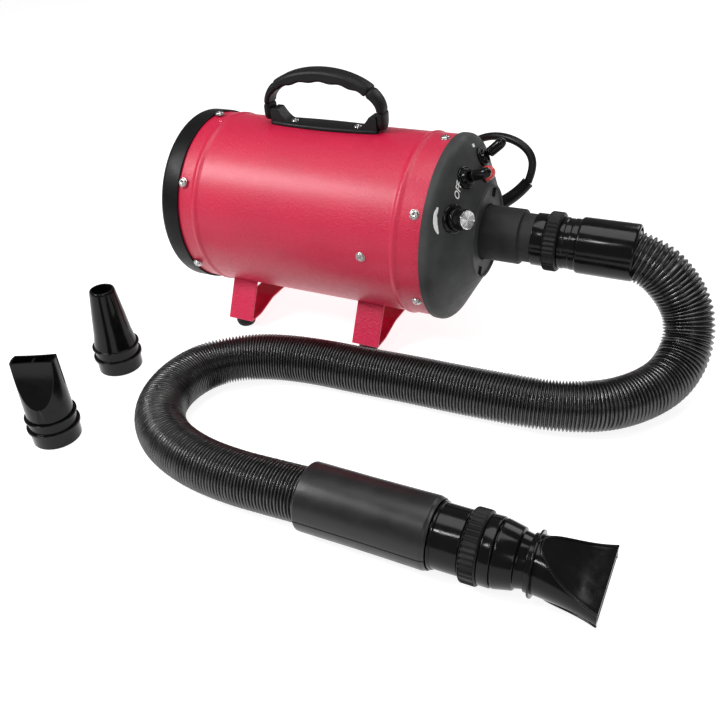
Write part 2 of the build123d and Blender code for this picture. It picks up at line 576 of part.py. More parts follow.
def build():
    cap = front_cap()
    save("drum", drum())
    save("rear_cap", rear_cap())
    save("intake_grille", intake_grille())
    save("front_cap", cap)
    save("outlet", outlet())
    band = [around(a, x, DRUM_R) for x in (REAR_SCREWS_X, FRONT_SCREWS_X) for a in BAND_ANGLES]
    save("drum_screws", screws(band + [around(a, BRACKET_SCREW_X, DRUM_R) for a in (0, 180)]))
    for name, x in zip(("legs_rear", "legs_front"), LEG_X):
        save(name, strap_leg(x))
    save("feet", feet())
    save("foot_screws", foot_screws())
    save("handle_plate", handle_plate())
    plate_top = AXIS_Z + DRUM_R + PLATE_T - 1.6
    handle_seats = [Plane((HANDLE_X + dx, 0, plate_top)) for dx in (-HANDLE_SCREWS, HANDLE_SCREWS)]
    save("handle_screws", screws(handle_seats, 4.4, 2.0, 9.0))
    save("grip_frame", grip_frame())
    save("grip_sleeve", grip_sleeve())
    save("grip_pins", grip_pins())
    save("potentiometer", at(KNOB, potentiometer()))
    save("pot_shaft", at(KNOB, rod(2.97, -8, 13.4)))
    save("knob_bezel", knob_bezel(cap))
    save("knob", at(KNOB, knob()))
    save("knob_disc", at(KNOB, rod(8.3, 17.45, 18.9)))
    switches = (FAN_SWITCH, HEAT_SWITCH)
    save("switch_bodies", Compound(children=[at(plane, switch_body()) for plane in switches]))
    save("switch_boots", Compound(children=[switch_boot(plane, cap) for plane in switches]))
    save("fan_lever", at(FAN_SWITCH, lever(-FAN_TILT)))
    save("heat_lever", at(HEAT_SWITCH, lever(HEAT_TILT)))
    save("lamp_lens", at(LAMP, lamp_lens()))
    save("relief_boot", relief_boot(cap))
    save("power_cord", swept(CORD_ROUTE, CORD_R, "power cord"))
    save("cord_coil", coil())
    save("cord_tail", swept(TAIL_ROUTE, CORD_R, "cord tail"))
    save("plug_body", plug())
    save("plug_pins", plug_pins())
    save("hose_connector", hose_connector(CONNECTOR_REAR, 0, AXIS_Z))
    save("hose_lock_ring", lock_ring(LOCK_REAR, 0, AXIS_Z))
    save("hose_cuff", machine_cuff())
    save("hose", swept(HOSE_ROUTE, HOSE_R, "hose", HOSE_R - HOSE_WALL))
    save("wand_sleeve", wand_sleeve())
    save("wand_tip", wand_tip())
    save("wand_lock_ring", lock_ring(264.3, WAND_Y, WAND_Z))
    save("taper_adapter", taper_adapter())
    save("fan_nozzle", fan_nozzle())
    save("spare_round_nozzle", round_nozzle())
    save("spare_flat_nozzle", flat_nozzle())
    for node, shape in {**motor_parts(), **heater_parts()}.items():
        save(node, shape)


build()
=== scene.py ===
"""Looks of the pet dryer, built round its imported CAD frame.

Lengths are millimetres in the machine's own axes (X along the drum towards the outlet, the floor at
z = 0, x = y = 0 under the drum's middle) and world() turns them into the frame's metres.
"""

import math

import bmesh
import bpy
from mathutils import Matrix, Vector

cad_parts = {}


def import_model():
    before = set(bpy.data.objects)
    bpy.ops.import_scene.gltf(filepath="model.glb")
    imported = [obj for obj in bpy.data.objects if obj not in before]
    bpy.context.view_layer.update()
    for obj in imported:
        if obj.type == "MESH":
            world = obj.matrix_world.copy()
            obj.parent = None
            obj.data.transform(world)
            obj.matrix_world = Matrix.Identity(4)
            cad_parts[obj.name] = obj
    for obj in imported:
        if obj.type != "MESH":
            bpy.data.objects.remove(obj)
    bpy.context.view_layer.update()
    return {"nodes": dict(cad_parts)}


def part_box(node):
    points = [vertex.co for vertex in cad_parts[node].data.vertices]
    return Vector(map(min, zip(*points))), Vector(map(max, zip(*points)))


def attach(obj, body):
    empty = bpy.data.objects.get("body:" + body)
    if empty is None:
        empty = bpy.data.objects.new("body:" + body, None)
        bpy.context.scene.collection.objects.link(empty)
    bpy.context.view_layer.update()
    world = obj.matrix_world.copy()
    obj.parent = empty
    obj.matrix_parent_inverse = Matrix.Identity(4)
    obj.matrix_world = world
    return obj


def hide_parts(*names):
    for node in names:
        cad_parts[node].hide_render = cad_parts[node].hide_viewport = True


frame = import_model()
NODES = frame["nodes"]

MM = 0.001
DRUM_LOW, DRUM_HIGH = (Vector(corner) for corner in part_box("drum"))
DRUM_MID_X = 6.0                    # the drum's middle is this far ahead of the machine's centre
HOME = Vector(((DRUM_LOW.x + DRUM_HIGH.x) / 2 - DRUM_MID_X * MM, (DRUM_LOW.y + DRUM_HIGH.y) / 2, 0))
AXIS_Z = (DRUM_LOW.z + DRUM_HIGH.z) / 2 / MM

DRUM_R, CAP_R = 86.0, 88.0
CONE_X0, CONE_R0, CONE_X1, CONE_R1 = 150.0, 85.0, 172.9, 44.1
FACE_X = 173.0                      # flat face round the outlet
WAND_Y, WAND_Z = -300.0, 27.7
SPARE_ROUND, SPARE_FLAT = (-151.2, -176.7, 87.1), (-130.7, -290.5, 82.2)
HANDLE_X, HANDLE_HALF, PIVOT_Z = 10.0, 57.0, 213.0
GRIP_HALF, GRIP_RISE, GRIP_SPRING_Z = 63.7, 35.0, 222.0
GRIP_T, GRIP_LEG_T, GRIP_W = 11.5, 6.4, 18.0
KNOB_AT = (148.0, 66.0)             # clock angle and radius on the cone
FAN_AT, HEAT_AT = (112.8, 66.5), (74.0, 66.5)
FAN_TILT, HEAT_TILT = 5.0, 15.0
LAMP_AT, RELIEF_AT = (86.0, 54.0), (5.0, 54.0)
HANDLE_SCREWS = 34.0                # each side of the handle's middle
NOTCH_ANGLES = (61, 240)            # clock angles of the slots in the outlet's face
LEG_X, LEG_W, LEG_T = (-73.5, 72.7), 28.6, 2.0
FOOT_Y, FOOT_R, FOOT_H = 61.0, 10.2, 9.0

HOSE_R = 22.0
HOSE_ROUTE = [
    (300, 0, 116), (324, -1, 111), (345, -1, 93), (361, -4, 70), (366, -18, 43), (359, -43, 25),
    (342, -75, 22.2), (314, -104, 22.2), (272, -119, 22.2), (228, -122, 22.2), (184, -124, 22.2),
    (140, -125, 22.2), (96, -128, 22.2), (54, -129, 22.2), (13, -135, 22.2), (-19, -148, 22.2),
    (-46, -173, 22.2), (-54, -212, 22.2), (-44, -249, 22.2), (-16, -278, 22.2), (24, -294, 22.6),
    (67, -300, 24), (110, -301, 26.8), (146, -300, 27.6)]

CORD_R = 3.9
RELIEF_ROUTE = [(167.0, 53.6, 121.2), (181.5, 60, 128.5), (191.5, 65.5, 142.5)]
CORD_ROUTE = [
    (191.5, 65.5, 142.5), (194.5, 70.5, 153.5), (191.5, 75, 166), (180.5, 79, 174.5),
    (165, 84, 178), (148.5, 89, 177), (132.5, 94, 171), (116.5, 99, 158.5), (103, 103, 141),
    (93, 106, 117), (83, 109, 86), (72, 112, 55), (54, 115, 27), (27, 120, 9), (-6, 126, 4.6)]
TAIL_ROUTE = [(-14, 229, 10), (12, 226, 8), (34, 222, 9), (52, 221, 11)]
COIL_CENTRE = (-40.0, 180.0)
COIL_SLOTS = [(49.0, 4.5), (41.0, 4.5), (33.0, 4.5), (33.0, 12.5), (41.0, 12.5), (49.0, 12.5)]


def world(x, y, z):
    """Machine millimetres to the frame's metres."""
    return HOME + Vector((x, y, z)) * MM


def columns(x_dir, y_dir, z_dir, origin):
    """Matrix whose axes are the three directions, placed at origin."""
    m = Matrix((x_dir, y_dir, z_dir)).transposed().to_4x4()
    m.translation = origin
    return m


def along_x(x=0.0, y=0.0, z=AXIS_Z):
    """Local Z along the machine's X; local X is the machine's Y, so angles are clock angles."""
    return columns((0, 1, 0), (0, 0, 1), (1, 0, 0), world(x, y, z))


def upright(x, y, z=0.0):
    return Matrix.Translation(world(x, y, z))


def on_cone(angle, radius):
    """Local Z out of the front cap's cone, local X up its slope to the rim."""
    a = math.radians(angle)
    run, rise = CONE_X1 - CONE_X0, CONE_R0 - CONE_R1
    c, s = math.cos(a), math.sin(a)
    x = CONE_X0 + (CONE_R0 - radius) * run / rise
    out = Vector((rise, run * c, run * s)).normalized()
    slope = Vector((-run, rise * c, rise * s)).normalized()
    return columns(slope, out.cross(slope), out, world(x, radius * c, AXIS_Z + radius * s))


def on_drum(angle, x, radius=DRUM_R):
    """Local Z out of the drum, local X along it."""
    a = math.radians(angle)
    out = Vector((0, math.cos(a), math.sin(a)))
    lengthways = Vector((1, 0, 0))
    place = world(x, radius * out.y, AXIS_Z + radius * out.z)
    return columns(lengthways, out.cross(lengthways), out, place)


# ---- materials ----
def shader(name, colour, roughness, **sockets):
    """Principled material; sockets are set straight on the shader by their names."""
    material = bpy.data.materials.new(name)
    material.use_nodes = True
    bsdf = material.node_tree.nodes["Principled BSDF"]
    bsdf.inputs["Base Color"].default_value = (*colour, 1.0)
    bsdf.inputs["Roughness"].default_value = roughness
    for socket, value in sockets.items():
        bsdf.inputs[socket.replace("_", " ")].default_value = value
    return material


def add(material, kind, **values):
    """New node with some properties or input values set."""
    node = material.node_tree.nodes.new(kind)
    for key, value in values.items():
        if key in node.inputs:
            node.inputs[key].default_value = value
        else:
            setattr(node, key, value)
    return node


def wire(material, source, target):
    material.node_tree.links.new(source, target)


def noise(material, scale, detail=3.0, rough=0.5, stretch=None):
    """Noise in the piece's own metres; stretch squeezes it along chosen axes."""
    place = add(material, "ShaderNodeTexCoord").outputs["Object"]
    if stretch:
        mapping = add(material, "ShaderNodeMapping")
        mapping.inputs["Scale"].default_value = stretch
        wire(material, place, mapping.inputs["Vector"])
        place = mapping.outputs["Vector"]
    texture = add(material, "ShaderNodeTexNoise", Scale=scale, Detail=detail, Roughness=rough)
    wire(material, place, texture.inputs["Vector"])
    return texture.outputs["Fac"]


def spread(material, value, low, high, from_low=0.3, from_high=0.7):
    """Maps a value's usual range to low..high."""
    ramp = add(material, "ShaderNodeMapRange")
    for key, number in (("From Min", from_low), ("From Max", from_high), ("To Min", low),
                        ("To Max", high)):
        ramp.inputs[key].default_value = number
    wire(material, value, ramp.inputs["Value"])
    return ramp.outputs["Result"]


def bump(material, height, distance, strength=1.0, below=None):
    """Adds a bump layer under the shader's normal; below is the next layer's output."""
    node = add(material, "ShaderNodeBump", Strength=strength, Distance=distance)
    wire(material, height, node.inputs["Height"])
    if below is not None:
        wire(material, below, node.inputs["Normal"])
    wire(material, node.outputs["Normal"], shader_of(material).inputs["Normal"])
    return node.outputs["Normal"]


def shader_of(material):
    return material.node_tree.nodes["Principled BSDF"]


def tint(material, value, dark, light):
    """Base colour between two colours by a value."""
    mix = add(material, "ShaderNodeMix", data_type="RGBA")
    mix.inputs["A"].default_value = (*dark, 1)
    mix.inputs["B"].default_value = (*light, 1)
    wire(material, value, mix.inputs["Factor"])
    wire(material, mix.outputs["Result"], shader_of(material).inputs["Base Color"])


def red_enamel(name, colour):
    """Thick textured enamel: leathery orange peel, slightly uneven in gloss and depth."""
    m = shader(name, colour, 0.42, Specular_IOR_Level=0.36, Coat_Weight=0.42, Coat_Roughness=0.34)
    fine = noise(m, 900, 2.0, 0.55)
    broad = noise(m, 480, 3.0, 0.6)
    under = bump(m, broad, 0.0012, 0.6)
    bump(m, fine, 0.0007, 0.6, under)
    cloud = spread(m, noise(m, 22, 4.0), 0.0, 1.0)
    tint(m, cloud, tuple(c * 0.96 for c in colour), tuple(c * 1.05 for c in colour))
    wire(m, spread(m, noise(m, 160, 3.0), 0.36, 0.48), shader_of(m).inputs["Roughness"])
    return m


def grained(name, colour, roughness, grain=1500, depth=0.00008, lift=0.25, specular=0.18):
    """Moulded matt plastic: fine spark-eroded grain and faint patches of wear."""
    m = shader(name, colour, roughness, Specular_IOR_Level=specular)
    bump(m, noise(m, grain, 3.0, 0.6), depth, 0.6)
    patch = spread(m, noise(m, 35, 5.0), 0.0, 1.0)
    tint(m, patch, tuple(c * (1 - lift) for c in colour), tuple(c * (1 + lift) for c in colour))
    rough = spread(m, noise(m, 90, 4.0), roughness - 0.06, roughness + 0.08)
    wire(m, rough, shader_of(m).inputs["Roughness"])
    return m


def polished(name, colour, roughness=0.12, specular=0.2):
    """Glossy black moulding: slight sink ripples and a dusty film in the gloss."""
    m = shader(name, colour, roughness, Specular_IOR_Level=specular)
    ripple = bump(m, noise(m, 60, 1.0), 0.0006, 0.25)
    bump(m, noise(m, 1400, 2.0), 0.00002, 0.35, ripple)
    film = spread(m, noise(m, 120, 5.0, 0.65), roughness - 0.04, roughness + 0.09)
    wire(m, film, shader_of(m).inputs["Roughness"])
    tint(m, spread(m, noise(m, 45, 4.0), 0, 1), colour, tuple(c * 1.7 for c in colour))
    return m


def brushed(name, colour, roughness, scale=700, stretch=(1, 1, 30)):
    """Metal with fine lines along one way."""
    m = shader(name, colour, roughness, Metallic=1.0)
    lines = noise(m, scale, 2.0, 0.5, stretch)
    bump(m, lines, 0.00002, 0.5)
    wire(m, spread(m, lines, roughness - 0.08, roughness + 0.12), shader_of(m).inputs["Roughness"])
    return m


def silver_with_painted_sectors():
    """Turned disc with fine rings; its bright and dim sectors that run out from the middle are painted
    highlight and painted shade in the base colour.
    """
    m = shader("turned_silver", (0.82, 0.82, 0.83), 0.22, Metallic=1.0)
    place = add(m, "ShaderNodeTexCoord").outputs["Object"]
    split = add(m, "ShaderNodeSeparateXYZ")
    wire(m, place, split.inputs["Vector"])
    angle = add(m, "ShaderNodeMath", operation="ARCTAN2")
    wire(m, split.outputs["Y"], angle.inputs[0])
    wire(m, split.outputs["X"], angle.inputs[1])
    sectors = add(m, "ShaderNodeTexNoise", noise_dimensions="1D", Scale=1.1, Detail=1.5, Roughness=0.5)
    wire(m, angle.outputs["Value"], sectors.inputs["W"])
    # painted highlight: bright and dim sectors round the disc, mixed into its base colour
    tint(m, spread(m, sectors.outputs["Fac"], 0, 1, 0.4, 0.6), (0.42, 0.42, 0.43), (1, 1, 1))
    rings = add(m, "ShaderNodeTexWave", wave_type="RINGS", rings_direction="Z", Scale=700)
    wire(m, place, rings.inputs["Vector"])
    bump(m, rings.outputs["Fac"], 0.00002, 0.35)
    return m


def foam_grip():
    """Satin foam sleeve: soft skin with closed pores and one seam where it was wrapped."""
    m = shader("foam_grip", (0.01, 0.01, 0.011), 0.32, Specular_IOR_Level=0.36)
    pores = bump(m, noise(m, 1100, 3.0, 0.6), 0.00012, 0.45)
    bump(m, noise(m, 70, 2.0), 0.0008, 0.25, pores)
    wire(m, spread(m, noise(m, 60, 5.0, 0.6), 0.3, 0.42), shader_of(m).inputs["Roughness"])
    tint(m, spread(m, noise(m, 30, 4.0), 0, 1), (0.009, 0.009, 0.0095), (0.014, 0.014, 0.0145))
    return m


def lamp_red():
    m = shader("lamp_red", (0.6, 0.06, 0.06), 0.2, Transmission_Weight=0.12, IOR=1.49)
    shader_of(m).inputs["Emission Color"].default_value = (0.8, 0.12, 0.1, 1)
    shader_of(m).inputs["Emission Strength"].default_value = 0.1
    bump(m, noise(m, 500, 1.0), 0.00015, 0.4)
    return m


def printed_white():
    m = shader("printed_white", (0.82, 0.82, 0.8), 0.5)
    bump(m, noise(m, 1800, 3.0), 0.00004, 0.5)
    return m


# the drum's red is the legs' red enamel made darker: painted shade that holds down the light the drum
# catches from above
DRUM_RED_SHADED = red_enamel("drum_red", (0.5, 0.0045, 0.042))
LEG_RED = red_enamel("leg_red", (0.6, 0.007, 0.062))
GREY = grained("cap_grey", (0.045, 0.046, 0.046), 0.5, specular=0.15)
REAR_GREY = grained("rear_black", (0.004, 0.004, 0.0045), 0.4, specular=0.15)
SATIN = grained("satin_black", (0.008, 0.008, 0.0085), 0.42, 1200, 0.00005)
OUTLET_BLACK = grained("outlet_black", (0.026, 0.026, 0.0265), 0.5, 1700, 0.00007, specular=0.1)
GLOSS = polished("gloss_black", (0.003, 0.003, 0.0033))
HOSE_GLOSS = polished("hose_black", (0.005, 0.005, 0.0052), 0.26, 1.0)
RUBBER = grained("rubber", (0.008, 0.008, 0.008), 0.55, 1300, 0.0001)
SOFT_GRIP = grained("soft_grip", (0.006, 0.006, 0.0065), 0.46, 1500, 0.0001)
CORD_PVC = grained("cord_pvc", (0.007, 0.007, 0.0075), 0.36, 900, 0.00004)
FOAM = foam_grip()
ZINC = brushed("bright_zinc", (0.5, 0.49, 0.48), 0.26, 900, (1, 1, 1))
STEEL = brushed("plain_steel", (0.56, 0.56, 0.58), 0.36)
ALUMINIUM = brushed("aluminium", (0.8, 0.8, 0.81), 0.4)
COPPER = brushed("enamelled_copper", (0.62, 0.26, 0.13), 0.3, 1400, (40, 1, 1))
BRASS = brushed("pin_brass", (0.8, 0.62, 0.3), 0.28)
SILVER = silver_with_painted_sectors()
LAMP = lamp_red()
WHITE_INK = printed_white()
DARK_FOAM = grained("filter_foam", (0.04, 0.04, 0.04), 0.9, 500, 0.0012)
LINER_FOAM = grained("liner_foam", (0.09, 0.09, 0.09), 0.95, 400, 0.0012)
MICA = grained("mica", (0.55, 0.5, 0.4), 0.45, 700, 0.0001)
BOARD = grained("circuit_board", (0.03, 0.14, 0.06), 0.45, 900, 0.00005)


# ---- mesh helpers ----
def linked(name, data):
    """New object in the scene."""
    obj = bpy.data.objects.new(name, data)
    bpy.context.collection.objects.link(obj)
    return obj


def mesh_object(name, vertices, faces):
    """New welded mesh object, smooth with crisp edges."""
    mesh = bpy.data.meshes.new(name)
    mesh.from_pydata([tuple(v) for v in vertices], [], faces)
    mesh.validate()
    tidy_mesh(mesh)
    return linked(name, mesh)


def evaluated_mesh(obj):
    """New mesh of an object as its modifiers or its curve make it."""
    bpy.context.view_layer.update()
    graph = bpy.context.evaluated_depsgraph_get()
    return bpy.data.meshes.new_from_object(obj.evaluated_get(graph))


def piece(name, vertices, faces, material, matrix, body="machine"):
    """Mesh object in its place, riding on a body; X_visual stands for the CAD's node X."""
    obj = mesh_object(name, vertices, faces)
    obj.matrix_world = matrix
    obj.data.materials.append(material)
    if name.endswith("_visual"):
        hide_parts(name.removesuffix("_visual"))
    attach(obj, body)
    return obj


def tidy_mesh(mesh, crisp=38):
    """Weld, point the faces outwards, and shade smooth but for sharp edges."""
    bm = bmesh.new()
    bm.from_mesh(mesh)
    bmesh.ops.remove_doubles(bm, verts=bm.verts, dist=1e-7)
    bmesh.ops.dissolve_degenerate(bm, edges=bm.edges, dist=1e-7)
    bmesh.ops.recalc_face_normals(bm, faces=bm.faces)
    for face in bm.faces:
        face.smooth = True
    bm.to_mesh(mesh)
    bm.free()
    mesh.set_sharp_from_angle(angle=math.radians(crisp))


def rounded(points, radius=0.6, steps=3):
    """Closed outline with every corner turned into a short arc; a point may carry its own radius."""
    out = []
    count = len(points)
    for i, point in enumerate(points):
        here = Vector(point[:2])
        before, after = Vector(points[i - 1][:2]), Vector(points[(i + 1) % count][:2])
        reach = point[2] if len(point) > 2 else radius
        a, b = before - here, after - here
        reach = min(reach, 0.45 * a.length, 0.45 * b.length)
        if reach < 1e-4 or here.y < 1e-6:
            out.append(tuple(here))
            continue
        start, end = here + a.normalized() * reach, here + b.normalized() * reach
        for k in range(steps + 1):
            t = k / steps
            out.append(tuple(start * (1 - t) ** 2 + here * 2 * t * (1 - t) + end * t ** 2))
    return out


def skin(rings, count, closed=False):
    """Faces between successive rings of count points, capped at both ends or closed on itself."""
    faces = []
    for i in range(rings if closed else rings - 1):
        low, high = i * count, ((i + 1) % rings) * count
        for k in range(count):
            n = (k + 1) % count
            faces.append((low + k, low + n, high + n, high + k))
    if not closed:
        faces += [tuple(range(count)), tuple(range((rings - 1) * count, rings * count))]
    return faces


def lathe_data(outline, segments=96, shape=None):
    """Vertices and faces of a closed (along, radius) outline turned about local Z, in mm."""
    vertices = []
    for along, radius in outline:
        for k in range(segments):
            angle = 2 * math.pi * k / segments
            r = shape(along, radius, angle) if shape else radius
            vertices.append((r * math.cos(angle) * MM, r * math.sin(angle) * MM, along * MM))
    return vertices, skin(len(outline), segments, closed=True)


def lathe(name, outline, material, matrix, body="machine", segments=96, shape=None):
    """Piece turned about its local Z."""
    vertices, faces = lathe_data(outline, segments, shape)
    return piece(name, vertices, faces, material, matrix, body)


def joined(name, parts, material, matrix, body="machine"):
    """One mesh from several (vertices, faces, matrix) sets; the matrices are world ones."""
    vertices, faces = [], []
    back = matrix.inverted()
    for part_vertices, part_faces, place in parts:
        base = len(vertices)
        vertices += [back @ place @ Vector(v) for v in part_vertices]
        faces += [tuple(base + i for i in face) for face in part_faces]
    return piece(name, vertices, faces, material, matrix, body)


def extruded(outline, low, high, axis):
    """Outline pushed along an axis, 0 to 2 for X to Z; its points hold the other two coordinates."""
    vertices = []
    for along in (low, high):
        for point in outline:
            place = [*point[:axis], along, *point[axis:]]
            vertices.append(tuple(c * MM for c in place))
    return vertices, skin(2, len(outline))


def box_data(low, high):
    (x0, y0, z0), (x1, y1, z1) = low, high
    return extruded([(x0, y0), (x1, y0), (x1, y1), (x0, y1)], z0, z1, 2)


def bevelled(obj, width, segments=2, angle=30):
    """Bevel modifier for a piece with straight edges."""
    modifier = obj.modifiers.new("edges", "BEVEL")
    modifier.width = width * MM
    modifier.segments = segments
    modifier.angle_limit = math.radians(angle)
    modifier.harden_normals = True
    return obj


def cut(obj, *tools):
    """Takes closed meshes, given as (vertices, faces, world matrix), out of a piece for good."""
    for i, (vertices, faces, place) in enumerate(tools):
        tool = mesh_object(f"tool_{i}", vertices, faces)
        tool.matrix_world = place
        modifier = obj.modifiers.new("cut", "BOOLEAN")
        modifier.operation, modifier.object, modifier.solver = "DIFFERENCE", tool, "EXACT"
        fresh = evaluated_mesh(obj)
        obj.modifiers.clear()
        old, obj.data = obj.data, fresh
        bpy.data.meshes.remove(old)
        bpy.data.objects.remove(tool)
        for polygon in obj.data.polygons:
            polygon.use_smooth = True
        obj.data.set_sharp_from_angle(angle=math.radians(38))
    return obj


def curve(name, route):
    """Open NURBS spline with the route's points, given in machine millimetres."""
    data = bpy.data.curves.new(name, "CURVE")
    data.dimensions = "3D"
    spline = data.splines.new("NURBS")
    spline.points.add(len(route) - 1)
    for point, place in zip(spline.points, route):
        point.co = (*world(*place), 1.0)
    spline.order_u = 3
    spline.use_endpoint_u = True
    spline.resolution_u = 12
    data.use_fill_caps = True
    return linked(name, data)


def points_along(route, step):
    """Evenly spaced points on the route's spline, in metres."""
    guide = curve("guide", route)
    mesh = evaluated_mesh(guide)
    line = [v.co.copy() for v in mesh.vertices]
    bpy.data.meshes.remove(mesh)
    bpy.data.objects.remove(guide)
    travelled = [0.0]
    for a, b in zip(line, line[1:]):
        travelled.append(travelled[-1] + (b - a).length)
    count = max(2, round(travelled[-1] / step))
    out, i = [], 0
    for k in range(count + 1):
        goal = travelled[-1] * k / count
        while i < len(line) - 2 and travelled[i + 1] < goal:
            i += 1
        span = travelled[i + 1] - travelled[i] or 1.0
        out.append(line[i].lerp(line[i + 1], (goal - travelled[i]) / span))
    return out, travelled[-1]


def tube_data(points, radius, segments):
    """Closed tube round points, in metres; radius(distance, angle) is in metres too."""
    vertices = []
    side = None
    travelled = 0.0
    last = len(points) - 1
    for i, point in enumerate(points):
        ahead = (points[min(i + 1, last)] - points[max(i - 1, 0)]).normalized()
        if side is None:
            side = ahead.cross(Vector((0, 0, 1))).normalized()
        side = (side - ahead * side.dot(ahead)).normalized()
        up = ahead.cross(side)
        if i:
            travelled += (point - points[i - 1]).length
        for k in range(segments):
            angle = 2 * math.pi * k / segments
            r = radius(travelled, angle)
            vertices.append(point + side * (r * math.cos(angle)) + up * (r * math.sin(angle)))
    return vertices, skin(last + 1, segments)


def tube(name, points, radius, material, segments=48, body="machine"):
    vertices, faces = tube_data(points, radius, segments)
    return piece(name, vertices, faces, material, Matrix.Identity(4), body)


# ---- camera, first; the cords' routes were measured against its view ----
def aim_camera():
    """Long lens above the outlet side, level but for a slight roll."""
    azimuth, elevation, roll = math.radians(28.3), math.radians(33.5), math.radians(-4.2)
    target = world(28.0, 0.0, -62.6)
    back = Vector((math.sin(azimuth) * math.cos(elevation), -math.cos(azimuth) * math.cos(elevation),
                   math.sin(elevation)))
    level = Vector((0, 0, 1)).cross(back).normalized()
    upward = back.cross(level)
    right = level * math.cos(roll) + upward * math.sin(roll)
    up = upward * math.cos(roll) - level * math.sin(roll)
    camera = linked("camera", bpy.data.cameras.new("camera"))
    camera.matrix_world = columns(right, up, back, target + back * 0.9478)
    camera.data.lens, camera.data.sensor_width = 42.17, 36.0
    camera.data.clip_start = 0.05
    bpy.context.scene.camera = camera


aim_camera()


# ---- cords ----
def coil_points():
    """Clockwise turns, each moving on to the next slot before it closes."""
    cx, cy = COIL_CENTRE
    stay, shift, last_turn = 325.0, 32.0, 355.0
    total = stay * (len(COIL_SLOTS) - 1) + last_turn
    points = []
    count = int(total / 15)
    for k in range(count + 1):
        wound = total * k / count
        slot = min(int(wound / stay), len(COIL_SLOTS) - 1)
        radius, height = COIL_SLOTS[slot]
        left = stay * (slot + 1) - wound
        if slot < len(COIL_SLOTS) - 1 and left < shift:
            t = 1 - left / shift
            t = t * t * (3 - 2 * t)
            to_radius, to_height = COIL_SLOTS[slot + 1]
            radius += (to_radius - radius) * t
            height += (to_height - height) * t
        a = math.radians(-90 - wound)
        points.append((cx + radius * math.cos(a), cy + radius * math.sin(a), height))
    return points


def power_cord():
    cord = curve("power_cord_visual", CORD_ROUTE + coil_points() + TAIL_ROUTE)
    cord.data.bevel_depth = CORD_R * MM
    cord.data.bevel_resolution = 5
    cord.data.materials.append(CORD_PVC)
    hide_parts("power_cord", "cord_coil", "cord_tail")
    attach(cord, "machine")
    return cord


def hose():
    """Corrugated hose: rounded spiral ribs, drawn apart at the blower and closed up elsewhere."""
    points, length = points_along(HOSE_ROUTE, 0.00045)

    def ribs(distance):
        """Ribs passed by this distance; the pitch closes up from the blower's bend onwards."""
        open_end, blend = 0.15, 0.06
        wide, close = 0.0041, 0.0029
        if distance < open_end:
            return distance / wide
        done = open_end / wide
        into = min(distance - open_end, blend)
        done += into / wide + (1 / close - 1 / wide) * into * into / (2 * blend)
        return done + max(0.0, distance - open_end - blend) / close

    def radius(distance, angle):
        wave = 0.5 + 0.5 * math.cos(2 * math.pi * ribs(distance) + angle)
        return (HOSE_R - 3.6 + 3.6 * wave ** 0.55) * MM

    obj = tube("hose_visual", points, radius, HOSE_GLOSS, 40)
    for edge in obj.data.edges:
        edge.use_edge_sharp = False
    return obj


def strain_relief():
    """Bent boot, thicker than the cord and cut off square at its end."""
    points, length = points_along(RELIEF_ROUTE, 0.0006)

    def radius(distance, angle):
        taper = 6.5 - 0.6 * distance / length
        lip = 0.2 if length - distance < 0.0015 else 0.0
        return (taper + lip) * MM

    boot = tube("relief_boot_visual", points, radius, CORD_PVC, 40)
    flange = lathe("relief_flange", rounded([(-6, 0), (2.6, 0), (2.6, 8.4, 1.0), (0.2, 9.3, 0.8),
                                             (-0.7, 9.3), (-0.7, 6.0), (-6, 6.0)]),
                   CORD_PVC, on_cone(*RELIEF_AT), segments=48)
    return boot, flange


CORD = power_cord()
RELIEF, RELIEF_FLANGE = strain_relief()
hose()


# ---- drum, end caps and their screws ----
def drum():
    """Rolled sheet with a bead near each end, open at both ends."""
    outline = [(-134, 84.8), (-134, 86.0), (-102.8, 86.0, 1.6), (-99, 87.9, 2.2), (-95.2, 86.0, 1.6),
               (110.8, 86.0, 1.6), (114.6, 87.9, 2.2), (118.4, 86.0, 1.6), (146, 86.0), (146, 84.8)]
    return lathe("drum_visual", rounded(outline, 0.3), DRUM_RED_SHADED, along_x(), segments=160)


def rear_cap():
    """Shallow rear ring with a rounded edge round the intake."""
    outline = [(-134.3, 84.6), (-117.8, 86.2), (-117.8, 88.0, 0.7), (-136.2, 88.0, 3.0),
               (-139.6, 84.5, 2.2), (-139.6, 64.5, 1.5), (-137.2, 62.0, 1.5), (-134.3, 62.0)]
    return lathe("rear_cap_visual", rounded(outline, 0.5, 5), REAR_GREY, along_x(), segments=160)


def cut_tool_box(low, high, place):
    """Closed block that cut() takes away."""
    vertices, faces = box_data(low, high)
    return vertices, faces, place


def cut_tool_rod(radius, low, high, place, segments=48):
    """Closed cylinder that cut() takes away."""
    vertices, faces = lathe_data([(low, 0.0), (low, radius), (high, radius), (high, 0.0)], segments)
    return vertices, faces, place


def front_cap():
    """Cone with a rounded shoulder, a beaded rim round a flat face with two slots in it."""
    outline = [(146.2, 84.6), (139.6, 86.2), (139.6, 88.0, 0.6), (146.4, 88.0, 3.4),
               (150.4, 84.6, 3.2), (172.9, 44.1, 1.2), (174.8, 43.7, 1.0), (174.8, 41.4, 0.9),
               (173.0, 40.8, 0.6), (173.0, 26.2, 0.5), (169.7, 26.2), (169.7, 42.0, 1.0),
               (147.2, 82.5, 2.0)]
    cap = lathe("front_cap_visual", rounded(outline, 0.4, 5), GREY, along_x(), segments=160)
    tools = []
    for angle in NOTCH_ANGLES:
        turn = along_x() @ Matrix.Rotation(math.radians(angle), 4, "Z")
        tools.append(cut_tool_box((32.8, -5.6, FACE_X - 2.8), (41.2, 5.6, FACE_X + 4.0), turn))
    return cut(cap, *tools)


